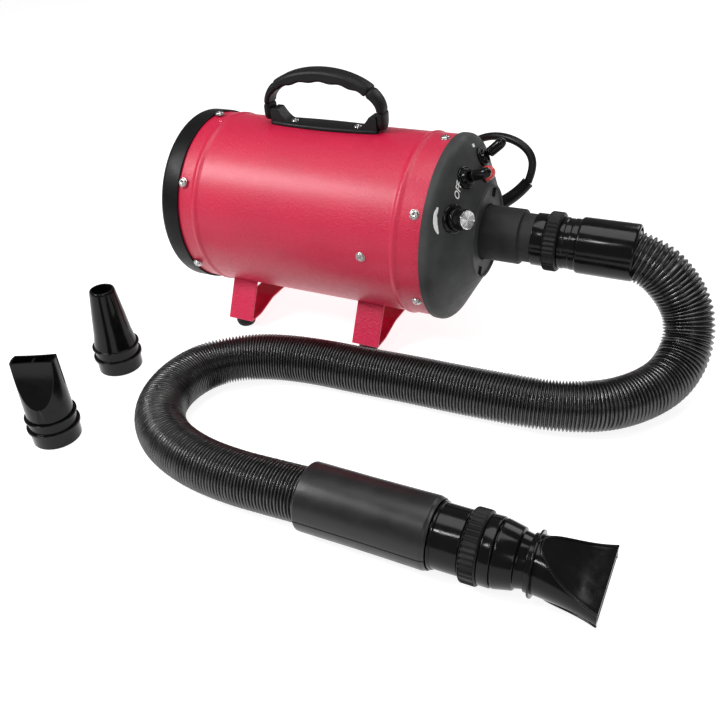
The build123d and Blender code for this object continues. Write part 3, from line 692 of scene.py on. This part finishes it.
def screw_parts(place):
    """Pan head with a washer face and a cross recess, as one turned and star-cut shape."""
    outline = [(-1.0, 0.0), (-1.0, 2.0), (0.0, 2.0), (0.0, 4.7, 0.25), (0.5, 4.7, 0.25), (0.5, 4.2),
               (1.7, 3.9, 0.7), (2.4, 2.9, 0.6), (2.45, 2.3), (1.3, 0.5), (1.2, 0.0)]

    def recess(along, radius, angle):
        in_recess = along > 1.2 and radius < 2.35
        return radius * (0.42 if in_recess and abs(math.sin(2 * angle)) >= 0.42 else 1.0)

    return *lathe_data(rounded(outline, 0.08), 48, recess), place


def screws():
    """Bright screws round both bands and at the sides of the heater bracket."""
    heads = []
    for x in (-112.5, 131.7):
        for i, angle in enumerate(range(30, 360, 60)):
            seat = CAP_R if x < 0 else DRUM_R
            spin = Matrix.Rotation(math.radians(25 + 37 * i), 4, "Z")
            heads.append(screw_parts(on_drum(angle, x, seat - 0.2) @ spin))
    for angle in (0, 180):
        heads.append(screw_parts(on_drum(angle, 82.4) @ Matrix.Rotation(0.6, 4, "Z")))
    return joined("drum_screws_visual", heads, ZINC, Matrix.Identity(4))


# ---- legs and feet ----
def leg(name, x):
    """One strap bent under the drum: down to a foot, across with a raised middle and up again."""
    half = [(49.6, 49.8), (70.0, 10.2), (52.0, 10.2), (26.0, 16.5)]
    route = [Vector(p) for p in half + [(-y, z) for y, z in reversed(half)]]
    outline = []
    for i, here in enumerate(route):
        before, after = route[max(i - 1, 0)], route[min(i + 1, len(route) - 1)]
        a = (here - before).normalized() if i else (after - here).normalized()
        b = (after - here).normalized() if i < len(route) - 1 else a
        normal = Vector((-(a + b).y, (a + b).x)).normalized()
        spread_out = LEG_T / 2 / max(0.5, normal.dot(Vector((-a.y, a.x))))
        outline.append((here + normal * spread_out, here - normal * spread_out))
    loop = [p[0] for p in outline] + [p[1] for p in reversed(outline)]
    section = rounded([(p.x, p.y) for p in loop], 2.6, 5)
    section = [p for p in section if math.hypot(p[0], p[1] - AXIS_Z) > DRUM_R - 3]
    strap = piece(name, *extruded(section, x - LEG_W / 2, x + LEG_W / 2, 0), LEG_RED,
                  Matrix.Translation(HOME))
    return bevelled(strap, 0.5, 2, 40)


def feet():
    """Domed rubber feet with a washer recess under each."""
    outline = rounded([(0.0, 4.2), (0.0, 7.6, 1.2), (1.8, 9.2, 1.6), (5.0, FOOT_R, 2.0),
                       (FOOT_H, 10.0, 0.6), (FOOT_H, 2.2), (3.5, 2.2), (3.5, 4.2)], 0.3, 5)
    parts = [(*lathe_data(outline, 64), upright(x, y)) for x in LEG_X for y in (-FOOT_Y, FOOT_Y)]
    return joined("feet_visual", parts, RUBBER, Matrix.Identity(4))


# ---- handle ----
def horn_outline(side):
    """Side view of one upturned end of the base, sweeping up in a hollow curve."""
    foot = HANDLE_X + side * HANDLE_HALF
    points = [(foot, 203.0), (foot, PIVOT_Z + 2.6), (foot - side * 1.2, PIVOT_Z + 4.6),
              (foot - side * 7.0, PIVOT_Z + 4.6)]
    for k in range(10):
        t = k / 9
        points.append((foot - side * (8.0 + 13.0 * t), PIVOT_Z + 4.2 - 11.3 * (1 - (1 - t) ** 1.7)))
    return points + [(foot - side * 21.0, 203.0)]


def handle_plate():
    """Base that hugs the drum, bowed along its sides, with two countersunk screws."""
    home = Matrix.Translation(HOME)
    top = AXIS_Z + DRUM_R + 3.4
    vertices = []
    steps = 40
    for i in range(steps + 1):
        x = HANDLE_X - HANDLE_HALF + 2 * HANDLE_HALF * i / steps
        bow = 1 - ((x - HANDLE_X) / HANDLE_HALF) ** 2
        half = 7.6 + 4.2 * bow ** 0.8
        ring = [(-half, -0.1), (-half, 1.6), (-half + 1.0, 2.9), (-half + 2.4, 3.4), (half - 2.4, 3.4),
                (half - 1.0, 2.9), (half, 1.6), (half, -0.1)]
        for y, h in ring:
            base = math.sqrt(DRUM_R ** 2 - y * y)
            z = AXIS_Z + base + 0.05 if h < 0 else top - 3.4 + h
            vertices.append((x * MM, y * MM, z * MM))
    base = piece("handle_plate_visual", vertices, skin(steps + 1, 8), SATIN, home)
    screw_places = (HANDLE_X - HANDLE_SCREWS, HANDLE_X + HANDLE_SCREWS)
    cut(base, *(cut_tool_rod(5.3, -1.7, 4, upright(x, 0, top)) for x in screw_places))
    bevelled(base, 0.35, 2, 35)
    horns = [(*extruded(horn_outline(side), -7.6, 7.6, 1), home) for side in (-1, 1)]
    bevelled(joined("handle_horns", horns, SATIN, home), 0.9, 3, 40)
    heads = [screw_parts(upright(x, 0, top - 1.6) @ Matrix.Rotation(0.5, 4, "Z"))
             for x in screw_places]
    joined("handle_screws_visual", heads, ZINC, Matrix.Identity(4))


def arch_station(u):
    """Outer and inner points of the grip's side view, 0 at the left foot and 1 at the right one."""
    leg_low = PIVOT_Z - 8.4
    leg_long = GRIP_SPRING_Z - leg_low
    arc = 125.0
    along = u * (2 * leg_long + arc)
    inner_half, inner_rise = GRIP_HALF - GRIP_LEG_T, GRIP_RISE - GRIP_T
    if along < leg_long or along > leg_long + arc:
        side = -1 if along < leg_long else 1
        z = leg_low + (along if side < 0 else 2 * leg_long + arc - along)
        return (side * GRIP_HALF, z), (side * inner_half, z)
    a = math.pi * (1 - (along - leg_long) / arc)
    return ((GRIP_HALF * math.cos(a), GRIP_SPRING_Z + GRIP_RISE * math.sin(a)),
            (inner_half * math.cos(a), GRIP_SPRING_Z + inner_rise * math.sin(a)))


def grip_section(start, end, grow, fingers=0):
    """Closed length of the grip with broad chamfers outside and small ones inside."""
    steps = max(10, round((end - start) * 150))
    vertices = []
    for i in range(steps + 1):
        u = start + (end - start) * i / steps
        outer, inner = (Vector(p) for p in arch_station(u))
        inward = (inner - outer).normalized()
        from_end = min(i, steps - i)
        tuck = 0.7 if from_end == 0 else 0.2 if from_end == 1 else 0.0
        swell = grow - tuck
        drop = PIVOT_Z - outer.y
        half = GRIP_W / 2 - 0.6 * (outer.y < GRIP_SPRING_Z)
        if drop > 0:
            half = math.sqrt(max(0.3, 8.4 ** 2 - drop ** 2))
        half += swell
        thick = (inner - outer).length
        wave = 0.0
        if fingers:
            wave = 1.3 * (0.5 - 0.5 * math.cos(2 * math.pi * fingers * i / steps))
        top, bottom = -swell, thick + swell - wave
        broad = min(4.6, 0.5 * half) if outer.y > GRIP_SPRING_Z else min(2.2, 0.5 * half)
        small = min(2.0, 0.3 * thick, 0.5 * half)
        ring = [(-half, top + 0.75 * broad), (-half + 0.3 * broad, top + 0.32 * broad),
                (-half + broad, top), (half - broad, top), (half - 0.3 * broad, top + 0.32 * broad),
                (half, top + 0.75 * broad), (half, bottom - small), (half - small, bottom),
                (-half + small, bottom), (-half, bottom - small)]
        for y, depth in ring:
            place = outer + inward * depth
            vertices.append(((HANDLE_X + place.x) * MM, y * MM, place.y * MM))
    return vertices, skin(steps + 1, 10)


def grip():
    """Hard arch in lengths with open seams, and the soft sleeve with finger waves under it."""
    home = Matrix.Translation(HOME)
    hard = [(0.0, 0.105), (0.108, 0.262), (0.735, 0.892), (0.895, 1.0)]
    parts = [(*grip_section(a, b, 0.0), home) for a, b in hard]
    parts.append((*grip_section(0.09, 0.91, -1.6), home))
    frame_piece = joined("grip_frame_visual", parts, SOFT_GRIP, home, "grip")
    bevelled(frame_piece, 0.5, 2, 30)
    soft = joined("grip_sleeve_visual", [(*grip_section(0.265, 0.732, 0.5, 5), home)], SOFT_GRIP,
                  home, "grip")
    bevelled(soft, 0.6, 2, 30)


# ---- controls on the cone ----
def knob():
    """Skirted knob with a fluted flank and a recessed turned disc in its face."""
    place = on_cone(*KNOB_AT)
    outline = rounded([(3.2, 3.2), (3.2, 9.7, 0.5), (6.2, 9.7, 0.8), (7.2, 9.1, 0.4),
                       (16.6, 9.0, 1.1), (17.8, 8.7, 0.5), (17.8, 8.35), (17.3, 8.3), (17.3, 3.2)], 0.3)

    def flutes(along, radius, angle):
        if 7.0 < along < 16.0 and radius > 8.6:
            return radius - 0.28 * (0.5 + 0.5 * math.cos(24 * angle)) ** 2
        return radius

    lathe("knob_visual", outline, GLOSS, place, "speed_knob", 144, flutes)
    disc = rounded([(17.0, 0.0), (17.0, 8.25), (18.4, 8.25, 0.5), (18.5, 7.5, 0.2), (18.2, 7.2, 0.2),
                    (18.2, 0.0)], 0.15)
    lathe("knob_disc_visual", disc, SILVER, place, "speed_knob", 96)


def knob_bezel():
    place = on_cone(*KNOB_AT)
    outline = rounded([(-0.6, 3.4), (-0.6, 13.0), (1.4, 13.0, 0.8), (2.4, 11.4, 0.9), (2.6, 10.6, 0.4),
                       (2.2, 3.4)], 0.4)
    return lathe("knob_bezel_visual", outline, GLOSS, place)


def arc_mark(name, place, radius, width, start, end, lift=0.12, thick=0.25):
    """Printed arc just proud of the surface; angles in degrees about local Z."""
    vertices = []
    steps = 40
    for k in range(steps + 1):
        t = k / steps
        a = math.radians(start + (end - start) * t)
        w = width * (0.35 + 0.65 * min(1.0, 4.0 * min(t, 1 - t)))
        for side, h in ((-1, lift - thick), (-1, lift), (1, lift), (1, lift - thick)):
            r = radius + side * w / 2
            vertices.append((r * math.cos(a) * MM, r * math.sin(a) * MM, h * MM))
    return piece(name, vertices, skin(steps + 1, 4), WHITE_INK, place)


def word(name, text, place, size):
    """Generic switch wording, printed on the cap."""
    data = bpy.data.curves.new(name, "FONT")
    data.body = text
    data.size = size * MM
    data.extrude = 0.08 * MM
    data.shear, data.offset = 0.3, 0.12 * MM
    data.align_x, data.align_y = "CENTER", "CENTER"
    data.materials.append(WHITE_INK)
    obj = linked(name, data)
    obj.matrix_world = place @ Matrix.Translation((0, 0, 0.05 * MM))
    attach(obj, "machine")
    return obj


def markings():
    arc_mark("speed_scale", on_cone(*KNOB_AT), 20.8, 4.5, -17, 48)
    spin = Matrix.Rotation(math.radians(-80), 4, "Z")
    word("fan_off_mark", "OFF", on_cone(127.0, 68.5) @ spin, 8.8)
    dash = rounded([(-1.6, -2.6), (1.6, -2.6), (1.6, 2.6), (-1.6, 2.6)], 0.9, 4)
    piece("heat_mark", *extruded(dash, -0.1, 0.25, 2), WHITE_INK, on_cone(80.5, 78.0))


def switches():
    """Ring nuts with bushings and the long soft sleeves over the levers."""
    nuts = []
    for place in (on_cone(*FAN_AT), on_cone(*HEAT_AT)):
        nut = rounded([(-0.6, 6.2), (-0.6, 10.2), (1.6, 10.2, 0.7), (2.4, 9.3, 0.5), (2.4, 7.6, 0.5),
                       (5.2, 7.2, 0.9), (5.5, 6.4), (5.5, 6.2)], 0.25)
        nuts.append((*lathe_data(nut, 72), place))
    joined("switch_boots_visual", nuts, GLOSS, Matrix.Identity(4))
    for name, seat, tilt, body in (("fan", FAN_AT, -FAN_TILT, "fan_toggle"),
                                   ("heat", HEAT_AT, HEAT_TILT, "heat_toggle")):
        pivot = Matrix.Translation((0, 0, 3.0 * MM)) @ Matrix.Rotation(math.radians(tilt), 4, "Y")
        sleeve = rounded([(-2.6, 0.0), (-2.2, 1.8), (1.5, 1.9), (4.6, 2.2), (5.6, 4.6, 0.6),
                          (7.4, 5.0, 0.4), (7.9, 4.6, 0.3), (8.5, 4.9, 0.3), (18.6, 5.0, 2.4),
                          (22.4, 3.9, 2.0), (24.0, 1.4, 1.1), (24.0, 0.0)], 0.3, 6)
        lathe(f"{name}_lever_visual", sleeve, GLOSS, on_cone(*seat) @ pivot, body, 64)


def lamp():
    place = on_cone(*LAMP_AT)
    lens = rounded([(-4.2, 0.0), (-4.2, 4.9), (1.9, 4.9), (2.0, 6.8, 0.4), (4.6, 6.8, 1.6),
                    (9.2, 5.4, 2.4), (11.2, 2.4, 1.6), (11.3, 0.0)], 0.3, 6)

    def facets(along, radius, angle):
        return radius * (1 - 0.02 * (0.5 + 0.5 * math.cos(16 * angle))) if along > 2.2 else radius

    lathe("lamp_lens_visual", lens, LAMP, place, shape=facets)
    bezel = rounded([(-0.5, 5.7), (-0.5, 7.6), (1.2, 7.6, 0.4), (1.5, 6.9, 0.2), (1.5, 5.7)], 0.1)
    lathe("lamp_bezel", bezel, GLOSS, place, segments=72)


# ---- outlet, hose ends and the wand ----
def outlet():
    """Straight spout on the front cap, stepped down for the hose connector."""
    outline = [(168.0, 25.4), (207.6, 25.4, 0.8), (208.5, 24.6, 0.6), (208.5, 22.6), (209.3, 22.4),
               (233.4, 22.4, 0.6), (234.0, 21.8), (234.0, 19.5), (147.0, 19.5), (147.0, 25.4)]
    return lathe("outlet_visual", rounded(outline, 0.3, 5), OUTLET_BLACK, along_x(), segments=128)


def connector():
    """Stub that plugs over the outlet; the lock ring turns on it."""
    outline = [(220.0, 22.6), (220.0, 24.0, 0.9), (230.7, 24.0, 0.9), (230.7, 22.7), (244.6, 22.7),
               (244.6, 23.4, 0.6), (248.2, 23.4, 0.5), (249.0, 22.9), (254.0, 22.9, 0.4),
               (254.8, 23.3, 0.4), (262.0, 23.3, 0.6), (262.0, 20.0), (236.0, 20.0), (236.0, 22.6)]
    return lathe("hose_connector_visual", rounded(outline, 0.3, 4), GLOSS, along_x(), segments=128)


def knurled(angle):
    """Depth of the grip ribs, which stop at two plain zones with a raised mark in each."""
    turn = math.degrees(angle) % 180
    if turn < 24:
        return 0.35 if 10 < turn < 14 else 0.95
    return 1.25 * (0.5 - 0.5 * math.cos(40 * angle)) ** 0.7


def lock_ring(name, body, place):
    """Ring nut with rounded grip ribs that stop short of a chamfer at each edge."""
    outline = rounded([(0.0, 22.85), (0.0, 25.2, 0.5), (1.3, 26.9, 0.8), (2.2, 27.0), (4.0, 27.0),
                       (6.5, 27.0), (9.0, 27.0), (10.8, 27.0), (11.7, 26.9, 0.8), (13.0, 25.2, 0.5),
                       (13.0, 22.85)], 0.3)

    def ribs(along, radius, angle):
        return radius - knurled(angle) if 1.2 < along < 11.8 and radius > 26 else radius

    return lathe(name, outline, SATIN, place, body, 480, ribs)


def cuff():
    """Straight moulded sleeve over the end of the hose."""
    outline = [(260.0, 23.5), (260.0, 24.4, 0.7), (261.6, 25.4, 1.0), (309.4, 25.5, 1.4),
               (311.0, 24.2, 1.0), (311.0, 22.3), (300.0, 22.3), (290.0, 22.0), (275.0, 20.0),
               (264.0, 20.0), (264.0, 23.5)]
    return lathe("hose_cuff_visual", rounded(outline, 0.3, 5), GLOSS, along_x(), segments=128)


def at_wand(x=0.0):
    """Placement on the wand's axis, with local Z along it."""
    return along_x(x, WAND_Y, WAND_Z)


def wand_sleeve():
    """Foam sleeve, pinched slightly over its length, with rolled ends and a lengthwise seam."""
    outline = [(136.5, 22.4), (136.5, 25.6, 1.2), (138.0, 27.0, 1.4), (160.0, 26.9), (190.0, 26.8),
               (218.0, 27.0), (237.5, 27.2, 1.0), (239.2, 26.5, 0.6), (241.0, 26.3, 0.8), (241.0, 25.1),
               (232.0, 25.0), (232.0, 19.5), (160.0, 19.5), (160.0, 22.2)]

    def seam(along, radius, angle):
        away = (math.degrees(angle) - 184.0 + 180) % 360 - 180
        return radius - 0.7 * math.exp(-(away / 0.9) ** 2) if radius > 25.5 else radius

    obj = lathe("wand_sleeve_visual", rounded(outline, 0.4, 5), FOAM, at_wand(), segments=360, shape=seam)
    return obj


def wand_tip():
    """Bare end of the wand, with the stop and collar that the ring and the taper meet."""
    outline = [(232.3, 19.5), (232.3, 24.9), (235.6, 24.9, 0.5), (236.2, 23.9), (241.4, 23.9),
               (241.6, 25.0, 0.4), (243.6, 25.0, 0.5), (244.0, 23.9), (263.2, 23.8, 0.8),
               (264.0, 22.7), (277.6, 22.7), (277.6, 25.2, 0.8), (286.0, 25.2, 1.6), (286.0, 22.4),
               (296.0, 22.4), (296.0, 19.5)]
    return lathe("wand_tip_visual", rounded(outline, 0.3, 5), GLOSS, at_wand(), segments=128)


def taper_adapter():
    """Cone that narrows the wand's end down to the socket of the nozzle."""
    outline = [(287.0, 22.6), (287.0, 24.6, 0.6), (288.4, 24.6, 0.5), (300.8, 21.9, 0.9),
               (301.6, 20.2, 0.5), (302.2, 19.9), (310.5, 18.3, 0.5), (310.5, 16.4),
               (302.0, 17.4), (296.5, 19.2), (296.5, 22.6)]
    return lathe("taper_adapter_visual", rounded(outline, 0.3, 4), GLOSS, at_wand(), segments=128)


# ---- flat nozzles ----
def clipped_ellipse(half_w, half_h, flat, soften, dish=0.0):
    """Closed section: an ellipse with hollow flats above and below and its four edges softened."""
    across = half_w * math.sqrt(max(0.0016, 1 - (flat / half_h) ** 2))
    height = half_h * math.sqrt(1 - (across / half_w) ** 2)
    turn = math.asin(min(1.0, height / half_h))
    corners = []
    steps = 12
    for side in (1, -1):
        top = []
        for k in range(steps):
            t = 1 - 2 * k / steps
            top.append((side * across * t, side * (height - dish * (1 - t * t))))
        arc = []
        for k in range(steps):
            a = turn * (1 - 2 * k / steps)
            arc.append((-side * half_w * math.cos(a), side * half_h * math.sin(a)))
        corners += [(*top[0], soften), *((*p, 0.0) for p in top[1:]), (*arc[0], soften),
                    *((*p, 0.0) for p in arc[1:])]
    out = []
    count = len(corners)
    for i, (x, y, reach) in enumerate(corners):
        here = Vector((x, y))
        if not reach:
            out.append((x, y))
            continue
        a = Vector(corners[i - 1][:2]) - here
        b = Vector(corners[(i + 1) % count][:2]) - here
        reach = min(reach, 0.45 * a.length, 0.45 * b.length)
        start = here + a.normalized() * reach if a.length > 1e-6 else here
        end = here + b.normalized() * reach if b.length > 1e-6 else here
        for k in range(5):
            t = k / 4
            out.append(tuple(start * (1 - t) ** 2 + here * 2 * t * (1 - t) + end * t ** 2))
    return out


def flat_nozzle_data(low, high, wall, section, steps=56):
    """Closed shell; section(t) gives half width, half height and the flats' height."""
    vertices = []
    for inset, order in ((0.0, range(steps + 1)), (wall, range(steps, -1, -1))):
        for i in order:
            t = i / steps
            half_w, half_h, flat = (size - inset for size in section(t))
            for x, y in clipped_ellipse(half_w, half_h, flat, 0.7 if not inset else 0.4,
                                        0.7 * min(1.0, 3 * t)):
                vertices.append((x * MM, y * MM, (low + (high - low) * t) * MM))
    rings = 2 * (steps + 1)
    return vertices, skin(rings, len(vertices) // rings, closed=True)


def cheek_bead(low, high, section, side, radius):
    """Thin raised bead round the U-shaped edge of one flat cheek."""
    edge = []
    for k in range(41):
        t = 1.0 - 0.995 * (1 - (1 - k / 40) ** 1.6)
        half_w, half_h, flat = section(t)
        if flat < half_h * 0.999:
            reach = half_w * math.sqrt(1 - (flat / half_h) ** 2)
            edge.append((reach, side * (flat + 0.15), low + (high - low) * t))
    points = [Vector(p) * MM for p in edge + [(-x, y, z) for x, y, z in reversed(edge)]]
    return tube_data(points, lambda distance, angle: radius * MM, 10)


def fan_nozzle():
    """Fish-tail nozzle: a collar and thin flange, then two scooped cheeks down to the flat mouth."""
    way = columns((0, 1, 0), (0, 0, 1), (1, 0, 0), world(308.0, WAND_Y, WAND_Z))

    def section(t):
        half_w = 20.6 + 12.4 * (0.4 * t + 0.6 * t * t)
        half_h = 20.6 - 2.0 * t
        fall = max(0.0, (t - 0.03) / 0.97)
        return half_w, half_h, 5.0 + 15.6 * (1 - fall) ** 1.9

    vertices, faces = flat_nozzle_data(5.0, 51.5, 2.0, section)
    collar = rounded([(0.0, 19.1), (0.0, 20.6, 0.5), (3.6, 20.6), (3.6, 23.6, 0.5),
                      (5.2, 23.6, 0.5), (5.2, 18.6), (2.8, 18.6), (2.8, 19.1)], 0.25)
    parts = [(vertices, faces, way), (*lathe_data(collar, 128), way)]
    parts += [(*cheek_bead(5.0, 51.5, section, side, 0.85), way) for side in (1, -1)]
    return joined("fan_nozzle_visual", parts, GLOSS, way, "nozzle")


def spare_base(top):
    """Socket and the two rings that both spare nozzles share, ending in the given outline points."""
    return rounded([(0.0, 19.6), (0.0, 21.4, 0.5), (13.3, 21.5, 0.3), (13.5, 23.4, 0.5),
                    (16.0, 23.4, 0.5), (16.0, 21.1, 0.3), (24.4, 21.0, 0.3), (24.5, 22.8, 0.5),
                    (26.5, 22.8, 0.5), (26.5, 20.6, 0.3), *top], 0.25, 4)


def round_nozzle():
    x, y, height = SPARE_ROUND
    outline = spare_base([(40.0, 18.2), (60.0, 15.7), (height - 2.2, 12.3, 1.4),
                          (height - 0.1, 11.5, 0.7), (height - 0.1, 9.7, 0.5), (60.0, 13.0),
                          (28.0, 18.0, 1.0), (26.0, 19.6)])
    return lathe("spare_round_nozzle_visual", outline, GLOSS, upright(x, y), "round_nozzle", 128)


def spare_flat_nozzle():
    x, y, height = SPARE_FLAT
    place = upright(x, y) @ Matrix.Rotation(math.radians(26), 4, "Z")

    def section(t):
        """Round up to the cheeks' U-shaped lower edge, then pressed flat towards the mouth."""
        half_w = 20.6 - 1.1 * t
        half_h = 20.6 - 1.4 * t
        fall = max(0.0, (t - 0.28) / 0.72)
        return half_w, half_h, 7.2 + 13.0 * (1 - fall) ** 1.45

    vertices, faces = flat_nozzle_data(26.4, height - 0.1, 1.8, section)
    base = spare_base([(26.6, 18.6), (26.0, 19.6)])
    parts = [(vertices, faces, place), (*lathe_data(base, 128), place)]
    web = box_data((-1.0, -6.0, 45.0), (1.0, 6.0, height - 1.2))
    parts.append((*web, place))
    return joined("spare_flat_nozzle_visual", parts, GLOSS, place, "flat_nozzle")


# ---- floor, lights ----
def studio():
    """White floor, broad soft lights and a white surround."""
    mesh = bpy.data.meshes.new("floor")
    mesh.from_pydata([(-4, -4, 0), (4, -4, 0), (4, 4, 0), (-4, 4, 0)], [], [(0, 1, 2, 3)])
    floor = linked("floor", mesh)
    floor.location = (0, 0, -0.0004)
    paper = shader("floor_paper", (0.42, 0.42, 0.42), 0.9, Specular_IOR_Level=0.1)
    bump(paper, noise(paper, 300, 2.0), 0.00002, 0.2)
    shader_of(paper).inputs["Emission Color"].default_value = (1, 1, 1, 1)
    shader_of(paper).inputs["Emission Strength"].default_value = 0.86
    mesh.materials.append(paper)
    back = bpy.data.worlds.new("studio")
    back.use_nodes = True
    back.node_tree.nodes["Background"].inputs["Color"].default_value = (1, 1, 1, 1)
    back.node_tree.nodes["Background"].inputs["Strength"].default_value = 0.18
    bpy.context.scene.world = back
    for name, place, size, power in (
            ("key", (-0.85, -0.62, 1.12), 0.42, 16.0), ("overhead", (0.05, 0.1, 1.7), 1.0, 13.0),
            ("glint", (-0.1, -0.95, 1.25), 0.12, 2.2),
            ("fill", (1.0, -1.2, 0.9), 0.6, 3.5), ("rim", (0.4, 1.2, 0.9), 0.6, 4.0)):
        data = bpy.data.lights.new(name, "AREA")
        data.size, data.energy = size, power
        light = linked(name, data)
        light.location = place
        aim = Vector((0, 0, 0.08)) - light.location
        light.rotation_euler = aim.to_track_quat("-Z", "Y").to_euler()
    scene = bpy.context.scene
    scene.view_settings.view_transform = "Standard"
    scene.view_settings.look = "None"


def paint(material, *nodes):
    """Better material on CAD nodes whose shape stays."""
    for node in nodes:
        mesh = NODES[node].data
        mesh.materials.clear()
        mesh.materials.append(material)


def carried_over():
    """CAD nodes kept in their own shape, most of them inside the machine."""
    paint(DARK_FOAM, "intake_filter")
    paint(LINER_FOAM, "foam_liner")
    paint(STEEL, "rotor_shaft", "thermal_cutout", "foot_screws", "bearings", "stator", "armature")
    paint(ALUMINIUM, "impeller", "heater_bracket", "fan_case", "motor_frame", "pot_shaft")
    paint(COPPER, "field_coils", "commutator")
    paint(ZINC, "heater_coil", "grip_pins")
    paint(BRASS, "plug_pins")
    paint(MICA, "heater_mica")
    paint(BOARD, "speed_board")
    paint(RUBBER, "motor_mounts")
    paint(SATIN, "brush_holders", "switch_bodies", "potentiometer", "plug_body", "intake_grille")


drum()
rear_cap()
front_cap()
screws()
leg("legs_rear_visual", LEG_X[0])
leg("legs_front_visual", LEG_X[1])
feet()
handle_plate()
grip()
knob()
knob_bezel()
markings()
switches()
lamp()
outlet()
connector()
lock_ring("hose_lock_ring_visual", "hose_lock", along_x(231.0))
cuff()
wand_sleeve()
wand_tip()
lock_ring("wand_lock_ring_visual", "wand_lock", at_wand(264.3))
taper_adapter()
fan_nozzle()
round_nozzle()
spare_flat_nozzle()
carried_over()
studio()
